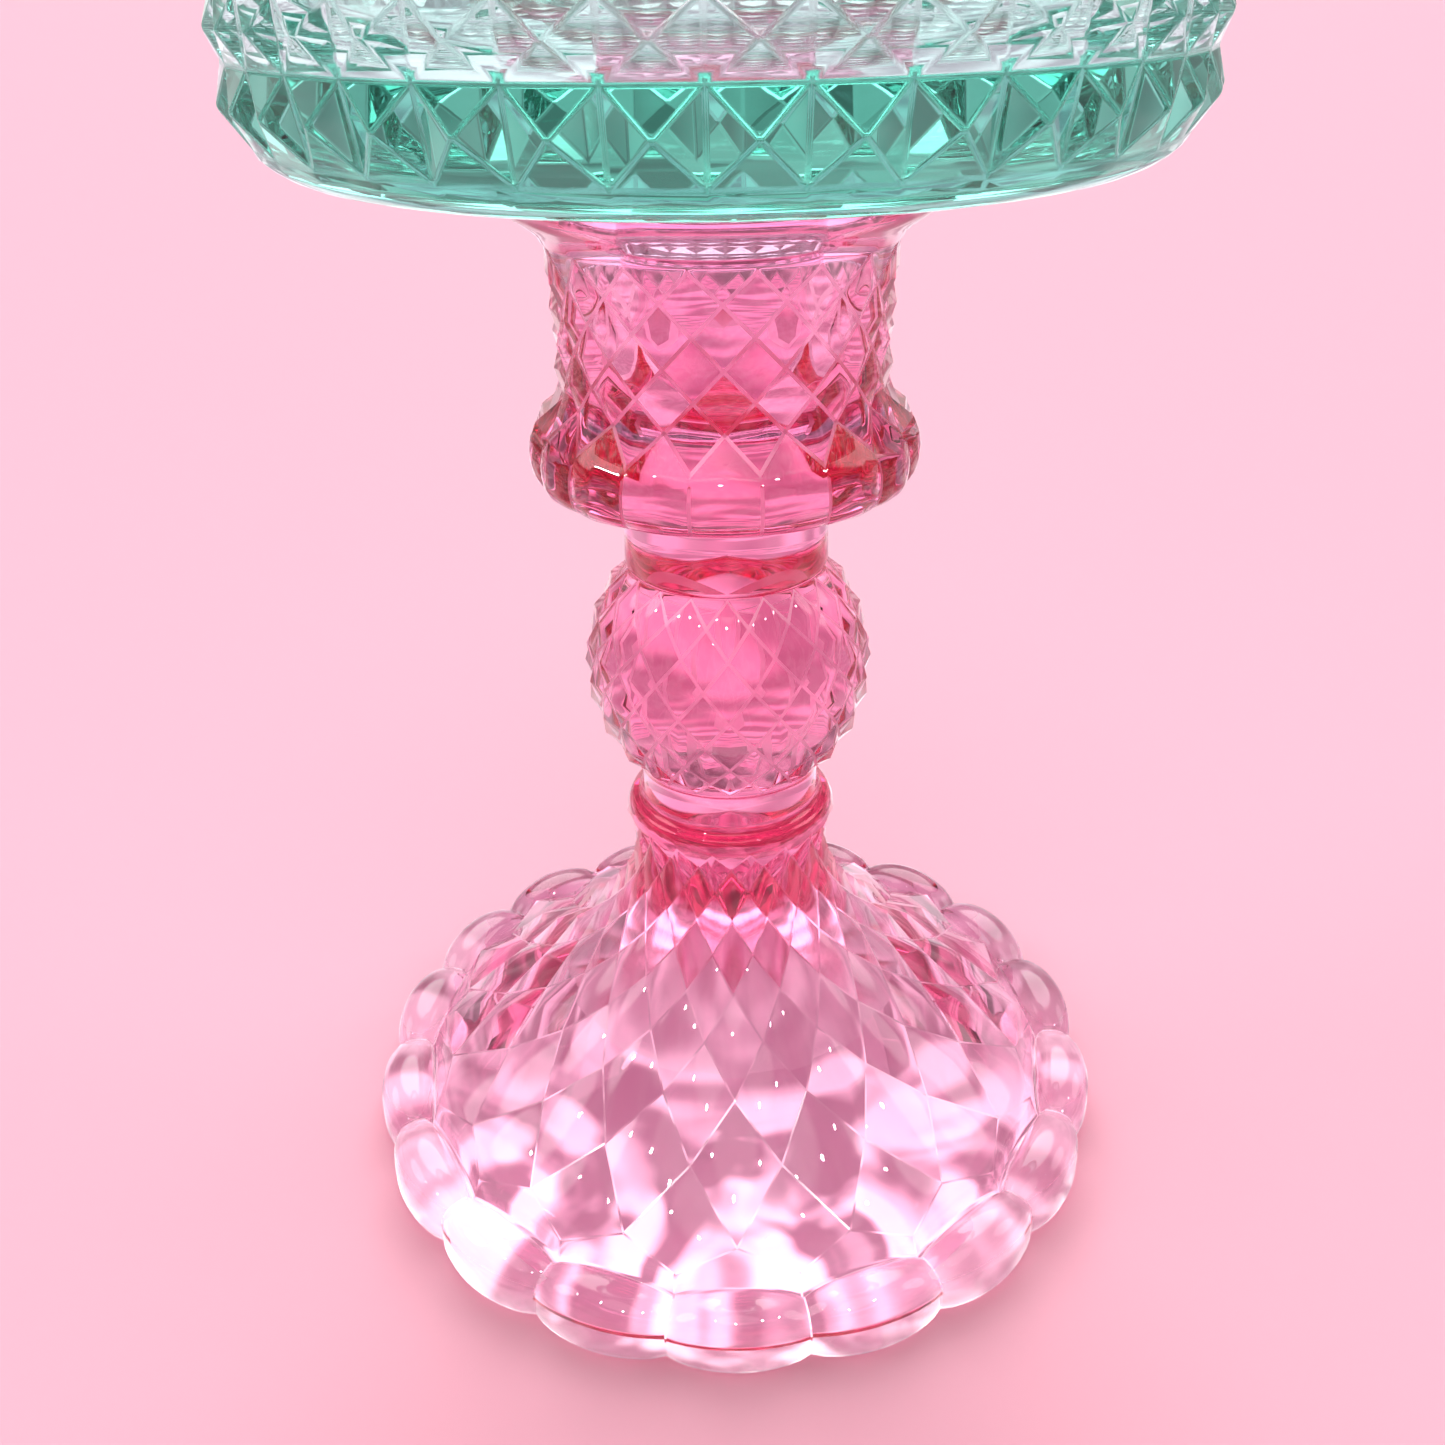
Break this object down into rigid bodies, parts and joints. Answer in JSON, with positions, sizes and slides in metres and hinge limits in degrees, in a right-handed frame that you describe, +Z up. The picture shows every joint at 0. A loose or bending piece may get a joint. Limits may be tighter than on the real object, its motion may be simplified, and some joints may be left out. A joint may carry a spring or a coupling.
{
  "type": "footed glass candy dish",
  "caption": "Open candy dish made of a straight-sided teal pressed-glass bowl bonded on top of a pink diamond-cut candlestick.",
  "frame": {"origin": "on the table, under the middle of the foot", "axes": "+Z up along the stem, -Y towards the front, +X to the right seen from the front"},
  "size_m": [0.1216, 0.1232, 0.2142],
  "materials": {
    "pink_glass": "clear fire-polished pressed glass",
    "clear_adhesive": "clear set adhesive",
    "teal_glass": "clear fire-polished pressed glass"
  },
  "bodies": {
    "root": {"candlestick": "pink_glass", "glue_ring": "clear_adhesive", "candy_bowl": "teal_glass"}
  },
  "joints": []
}
